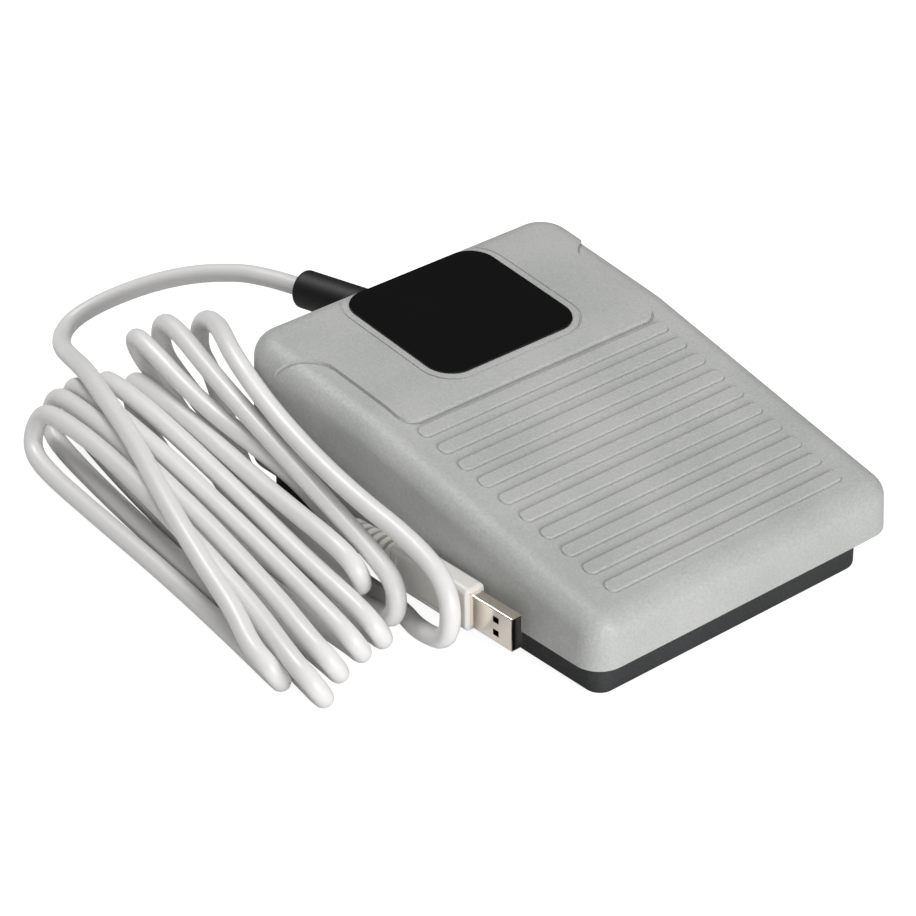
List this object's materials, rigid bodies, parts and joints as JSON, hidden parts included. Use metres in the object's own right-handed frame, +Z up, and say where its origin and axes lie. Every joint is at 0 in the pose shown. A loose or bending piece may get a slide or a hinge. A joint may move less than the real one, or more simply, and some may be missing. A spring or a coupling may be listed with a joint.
{
  "type": "usb foot pedal switch",
  "caption": "Foot pedal switch: a grey rocking cover on a dark tray, over a spring-returned micro switch, with a coiled cable to a plug.",
  "frame": {"origin": "centre of the pedal's footprint on the floor, without the cable and plug", "axes": "+Z up; +Y from the low toe end towards the heel end, where the hinge and the cable are; +X to the right seen from the toe end"},
  "size_m": [0.2084, 0.2943, 0.0626],
  "materials": {
    "cover": "light grey moulded plastic with a fine grain",
    "label": "black satin plate, bare",
    "tray": "charcoal moulded plastic with a fine grain",
    "steel": "bright drawn steel",
    "spring_steel": "drawn spring wire",
    "switch_black": "black thermoset moulding",
    "switch_red": "red moulded button",
    "silver_plate": "silver plated brass",
    "board_green": "green lacquered board",
    "chip_black": "black epoxy package",
    "crystal_can": "drawn tin-plated can",
    "header_white": "natural nylon housing",
    "component_mix": "small board parts",
    "wire_red": "thin insulated wire",
    "wire_mix": "thin insulated cores",
    "cable_grey": "off-white soft cable sheath",
    "boot_black": "black flexible moulding",
    "foot_rubber": "black rubber",
    "plug_grey": "off-white moulded grip",
    "plug_nickel": "bright nickel plated shell",
    "plug_insert": "white moulded insert",
    "gold_plate": "gold plated springs"
  },
  "bodies": {
    "base": {"base_tray": "tray", "hinge_pin": "steel", "hinge_pin_clips": "steel", "return_spring_left": "spring_steel", "return_spring_right": "spring_steel", "micro_switch_case": "switch_black", "micro_switch_terminals": "silver_plate", "micro_switch_screws": "steel", "circuit_board": "board_green", "controller_chip": "chip_black", "crystal": "crystal_can", "board_headers": "header_white", "board_components": "component_mix", "board_screws": "steel", "switch_wires": "wire_red", "usb_conductors": "wire_mix", "cable_inner": "cable_grey", "cable_clamp": "tray", "cable_clamp_screws": "steel", "strain_relief_boot": "boot_black", "rubber_feet": "foot_rubber", "stop_buffers": "foot_rubber", "cable_lead": "cable_grey", "cable_coil": "cable_grey", "cable_tail": "cable_grey", "plug_relief": "plug_grey", "plug_overmould": "plug_grey", "plug_shell": "plug_nickel", "plug_insulator": "plug_insert", "plug_contacts": "gold_plate"},
    "pedal": {"pedal_cover": "cover", "label_plate": "label"},
    "switch_lever": {"micro_switch_lever": "steel"},
    "switch_plunger": {"micro_switch_plunger": "switch_red"}
  },
  "joints": [
    {"name": "pedal_hinge", "type": "hinge", "parent": "base", "child": "pedal", "pos_m": [0, 0.07, 0.026], "axis": [1, 0, 0], "range_deg": [0, 3], "stiffness_Nm_per_rad": 12, "springref_deg": -4.58, "deforming": ["return_spring_left", "return_spring_right"]},
    {"name": "switch_lever_hinge", "type": "hinge", "parent": "base", "child": "switch_lever", "pos_m": [0, 0.0125, 0.0281], "axis": [1, 0, 0], "range_deg": [0, 9]},
    {"name": "switch_plunger_slide", "type": "slide", "parent": "base", "child": "switch_plunger", "axis": [0, 0, -1], "range_m": [0, 0.0011]}
  ],
  "couplings": [
    {"joint": "switch_lever_hinge", "follows": "pedal_hinge", "ratio": 2.769},
    {"joint": "switch_plunger_slide", "follows": "pedal_hinge", "m_per_rad": 0.01967}
  ]
}
